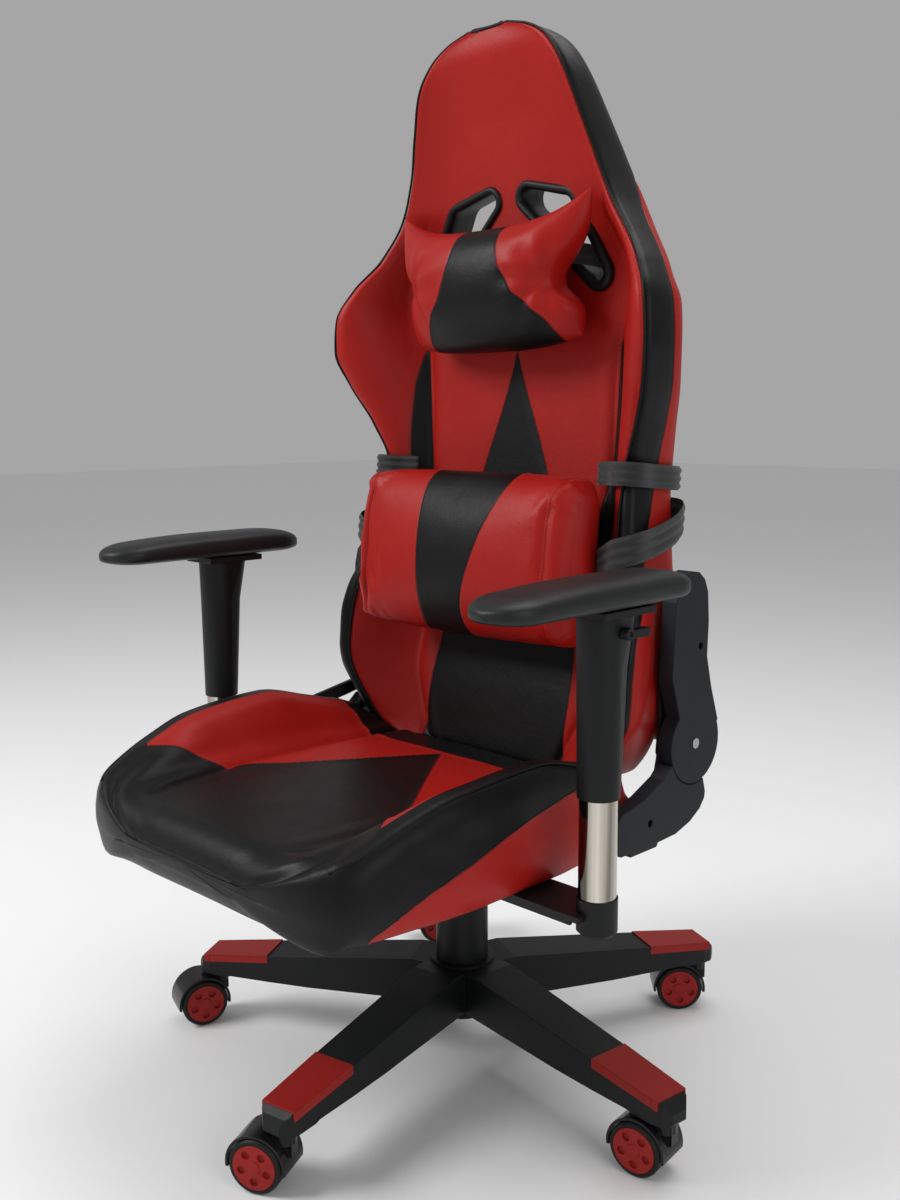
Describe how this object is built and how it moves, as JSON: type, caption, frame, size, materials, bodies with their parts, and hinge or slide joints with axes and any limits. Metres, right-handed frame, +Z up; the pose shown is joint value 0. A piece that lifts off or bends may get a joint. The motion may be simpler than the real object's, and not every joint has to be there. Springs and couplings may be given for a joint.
{
  "type": "gaming chair",
  "caption": "Racing-style swivel chair on twin-wheel casters with a winged reclining back, lift column, tilt and height-adjustable arms.",
  "frame": {"origin": "on the floor, under the axis of the column", "axes": "+Z up, -Y the way the sitter faces, +X to the sitter's left"},
  "size_m": [0.7138, 0.7326, 1.2389],
  "materials": {
    "red_leather": "satin artificial leather with a fine grain",
    "black_leather": "satin artificial leather with a fine grain",
    "webbing": "woven elastic webbing",
    "nylon": "fine moulded texture",
    "gloss_nylon": "glossy moulded",
    "cover_plastic": "fine moulded texture",
    "red_plastic": "satin moulded",
    "pad_rubber": "soft polyurethane foam skin",
    "black_paint": "powder coated",
    "steel": "plain turned",
    "chrome": "polished"
  },
  "bodies": {
    "base": {"star_base": "nylon", "arm_inlays": "red_plastic", "caster_stems": "steel", "gas_cylinder": "black_paint", "dust_cover_lower": "nylon"},
    "rod": {"piston_rod": "steel", "thrust_bearing": "steel"},
    "lift": {"pressure_tube": "black_paint", "dust_cover_upper": "nylon", "mechanism_housing": "black_paint", "tilt_pin": "steel", "tension_spring": "steel"},
    "cover_middle": {"dust_cover_middle": "nylon"},
    "button": {"lift_button": "steel"},
    "height_lever": {"height_lever": "black_paint"},
    "seat": {"mechanism_plate": "black_paint", "seat_frame": "black_paint", "seat_cushion": "red_leather", "arm_brackets": "black_paint", "arm_feet": "nylon", "arm_posts": "chrome", "recliner_seat_plates": "black_paint", "recliner_lower_covers": "cover_plastic", "seat_cover_screws": "steel"},
    "knob": {"tension_knob": "nylon"},
    "arm_left": {"arm_sleeve_left": "nylon", "arm_pad_left": "pad_rubber"},
    "arm_right": {"arm_sleeve_right": "nylon", "arm_pad_right": "pad_rubber"},
    "trigger_left": {"arm_trigger_left": "nylon"},
    "trigger_right": {"arm_trigger_right": "nylon"},
    "back": {"back_hinge_plates": "black_paint", "recliner_upper_covers": "cover_plastic", "recliner_rod": "steel", "back_cover_screws": "steel", "back_frame": "black_paint", "back_cushion": "red_leather", "opening_bezels": "nylon", "head_pillow": "red_leather", "head_strap": "webbing", "lumbar_pillow": "red_leather", "lumbar_straps": "webbing"},
    "recline_lever": {"recline_lever": "nylon"},
    "caster_1": {"caster_hood_1": "gloss_nylon"},
    "wheels_1": {"caster_wheels_1": "nylon", "caster_caps_1": "red_plastic"},
    "caster_2": {"caster_hood_2": "gloss_nylon"},
    "wheels_2": {"caster_wheels_2": "nylon", "caster_caps_2": "red_plastic"},
    "caster_3": {"caster_hood_3": "gloss_nylon"},
    "wheels_3": {"caster_wheels_3": "nylon", "caster_caps_3": "red_plastic"},
    "caster_4": {"caster_hood_4": "gloss_nylon"},
    "wheels_4": {"caster_wheels_4": "nylon", "caster_caps_4": "red_plastic"},
    "caster_5": {"caster_hood_5": "gloss_nylon"},
    "wheels_5": {"caster_wheels_5": "nylon", "caster_caps_5": "red_plastic"}
  },
  "joints": [
    {"name": "caster_swivel_1", "type": "hinge", "parent": "base", "child": "caster_1", "pos_m": [0.141, 0.30939, 0.06], "axis": [0, 0, 1], "continuous": true},
    {"name": "wheel_spin_1", "type": "hinge", "parent": "caster_1", "child": "wheels_1", "pos_m": [0.12344, 0.29302, 0.03], "axis": [-0.682, 0.7314, 0], "continuous": true},
    {"name": "caster_swivel_2", "type": "hinge", "parent": "base", "child": "caster_2", "pos_m": [0.33781, -0.03849, 0.06], "axis": [0, 0, 1], "continuous": true},
    {"name": "wheel_spin_2", "type": "hinge", "parent": "caster_2", "child": "wheels_2", "pos_m": [0.31399, -0.04141, 0.03], "axis": [-0.1219, 0.9925, 0], "continuous": true},
    {"name": "caster_swivel_3", "type": "hinge", "parent": "base", "child": "caster_3", "pos_m": [0.06778, -0.33317, 0.06], "axis": [0, 0, 1], "continuous": true},
    {"name": "wheel_spin_3", "type": "hinge", "parent": "caster_3", "child": "wheels_3", "pos_m": [0.04621, -0.34369, 0.03], "axis": [-0.4384, 0.8988, 0], "continuous": true},
    {"name": "caster_swivel_4", "type": "hinge", "parent": "base", "child": "caster_4", "pos_m": [-0.29592, -0.16742, 0.06], "axis": [0, 0, 1], "continuous": true},
    {"name": "wheel_spin_4", "type": "hinge", "parent": "caster_4", "child": "wheels_4", "pos_m": [-0.30373, -0.19012, 0.03], "axis": [-0.9455, 0.3256, 0], "continuous": true},
    {"name": "caster_swivel_5", "type": "hinge", "parent": "base", "child": "caster_5", "pos_m": [-0.25067, 0.2297, 0.06], "axis": [0, 0, 1], "continuous": true},
    {"name": "wheel_spin_5", "type": "hinge", "parent": "caster_5", "child": "wheels_5", "pos_m": [-0.26267, 0.20892, 0.03], "axis": [-0.866, 0.5, 0], "continuous": true},
    {"name": "seat_swivel", "type": "hinge", "parent": "base", "child": "rod", "pos_m": [0, 0, 0.06], "axis": [0, 0, 1], "continuous": true},
    {"name": "gas_lift", "type": "slide", "parent": "rod", "child": "lift", "axis": [0, 0, 1], "range_m": [0, 0.08]},
    {"name": "cover_slide", "type": "slide", "parent": "rod", "child": "cover_middle", "axis": [0, 0, 1], "range_m": [0, 0.04]},
    {"name": "height_lever_lift", "type": "hinge", "parent": "lift", "child": "height_lever", "pos_m": [-0.04, 0, 0.282], "axis": [0, 1, 0], "range_deg": [0, 4.3], "stiffness_Nm_per_rad": 2, "springref_deg": -2.86},
    {"name": "button_press", "type": "slide", "parent": "lift", "child": "button", "axis": [0, 0, -1], "range_m": [0, 0.003]},
    {"name": "seat_tilt", "type": "hinge", "parent": "lift", "child": "seat", "pos_m": [0, -0.062, 0.29], "axis": [-1, 0, 0], "range_deg": [0, 10], "stiffness_Nm_per_rad": 40, "springref_deg": -11.46, "deforming": ["tension_spring"]},
    {"name": "tension_turn", "type": "hinge", "parent": "seat", "child": "knob", "pos_m": [0, -0.112, 0.22], "axis": [0, 0, 1], "continuous": true},
    {"name": "arm_height_left", "type": "slide", "parent": "seat", "child": "arm_left", "axis": [0, 0, 1], "range_m": [-0.08, 0]},
    {"name": "trigger_left_lift", "type": "hinge", "parent": "arm_left", "child": "trigger_left", "pos_m": [0.345, -0.128, 0.596], "axis": [1, 0, 0], "range_deg": [0, 12], "stiffness_Nm_per_rad": 0.3, "springref_deg": -5.73},
    {"name": "arm_height_right", "type": "slide", "parent": "seat", "child": "arm_right", "axis": [0, 0, 1], "range_m": [-0.08, 0]},
    {"name": "trigger_right_lift", "type": "hinge", "parent": "arm_right", "child": "trigger_right", "pos_m": [-0.345, -0.128, 0.596], "axis": [1, 0, 0], "range_deg": [0, 12], "stiffness_Nm_per_rad": 0.3, "springref_deg": -5.73},
    {"name": "recline", "type": "hinge", "parent": "seat", "child": "back", "pos_m": [0, 0.105, 0.43], "axis": [-1, 0, 0], "range_deg": [-5, 80]},
    {"name": "recline_lever_lift", "type": "hinge", "parent": "seat", "child": "recline_lever", "pos_m": [-0.272, 0.105, 0.43], "axis": [-1, 0, 0], "range_deg": [0, 25], "stiffness_Nm_per_rad": 1, "springref_deg": -22.92}
  ],
  "couplings": [
    {"joint": "cover_slide", "follows": "gas_lift", "ratio": 0.5},
    {"joint": "button_press", "follows": "height_lever_lift", "m_per_rad": 0.04}
  ]
}
